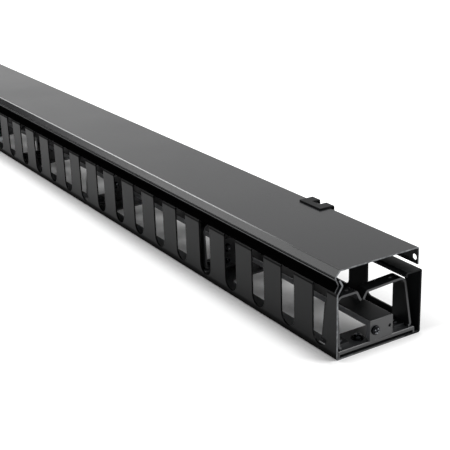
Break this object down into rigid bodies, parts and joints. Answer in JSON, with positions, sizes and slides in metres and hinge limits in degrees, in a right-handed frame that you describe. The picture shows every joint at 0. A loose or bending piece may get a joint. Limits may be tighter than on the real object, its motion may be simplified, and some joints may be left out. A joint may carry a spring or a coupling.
{
  "type": "vertical cable manager",
  "caption": "Single-sided vertical cable manager for a rack: slotted finger wall, windowed side wall, split cable rings on a raised back rail and a hinged flat cover.",
  "frame": {"origin": "middle of the footprint, on the back face that lies against the rack", "axes": "+Y along the manager from the end seen near in the picture to the far end, +Z from the back to the front cover, +X from the slotted finger wall to the windowed wall"},
  "size_m": [0.092, 1.2054, 0.0787],
  "materials": {
    "black_powder_coat": "satin black powder coat",
    "catch_powder_coat": "satin black powder coat",
    "zinc_black_screw": "black zinc plate, semi-gloss",
    "rivet_steel": "black zinc plate, semi-gloss"
  },
  "bodies": {
    "frame": {"back_rail_1": "black_powder_coat", "back_rail_2": "black_powder_coat", "back_rail_3": "black_powder_coat", "back_rail_4": "black_powder_coat", "back_rail_5": "black_powder_coat", "back_rail_6": "black_powder_coat", "bridge_plate_1": "black_powder_coat", "bridge_plate_2": "black_powder_coat", "bridge_plate_3": "black_powder_coat", "bridge_plate_4": "black_powder_coat", "bridge_plate_5": "black_powder_coat", "bridge_plate_6": "black_powder_coat", "bridge_plate_7": "black_powder_coat", "finger_wall": "black_powder_coat", "plate_screws": "zinc_black_screw", "rail_screws": "zinc_black_screw", "ring_left_1": "black_powder_coat", "ring_left_2": "black_powder_coat", "ring_left_3": "black_powder_coat", "ring_left_4": "black_powder_coat", "ring_left_5": "black_powder_coat", "ring_left_6": "black_powder_coat", "ring_left_7": "black_powder_coat", "ring_right_1": "black_powder_coat", "ring_right_2": "black_powder_coat", "ring_right_3": "black_powder_coat", "ring_right_4": "black_powder_coat", "ring_right_5": "black_powder_coat", "ring_right_6": "black_powder_coat", "ring_right_7": "black_powder_coat", "ring_rivets": "rivet_steel", "tie_strap_1": "black_powder_coat", "tie_strap_2": "black_powder_coat", "tie_strap_3": "black_powder_coat", "tie_strap_4": "black_powder_coat", "tie_strap_5": "black_powder_coat", "tie_strap_6": "black_powder_coat", "tie_strap_7": "black_powder_coat", "window_wall": "black_powder_coat"},
    "cover": {"front_cover": "black_powder_coat", "cover_catch_near": "catch_powder_coat", "cover_catch_far": "catch_powder_coat"}
  },
  "joints": [
    {"name": "cover_hinge", "type": "hinge", "parent": "frame", "child": "cover", "pos_m": [-0.0455, 0, 0.0587], "axis": [0, -1, 0], "range_deg": [0, 110]}
  ]
}
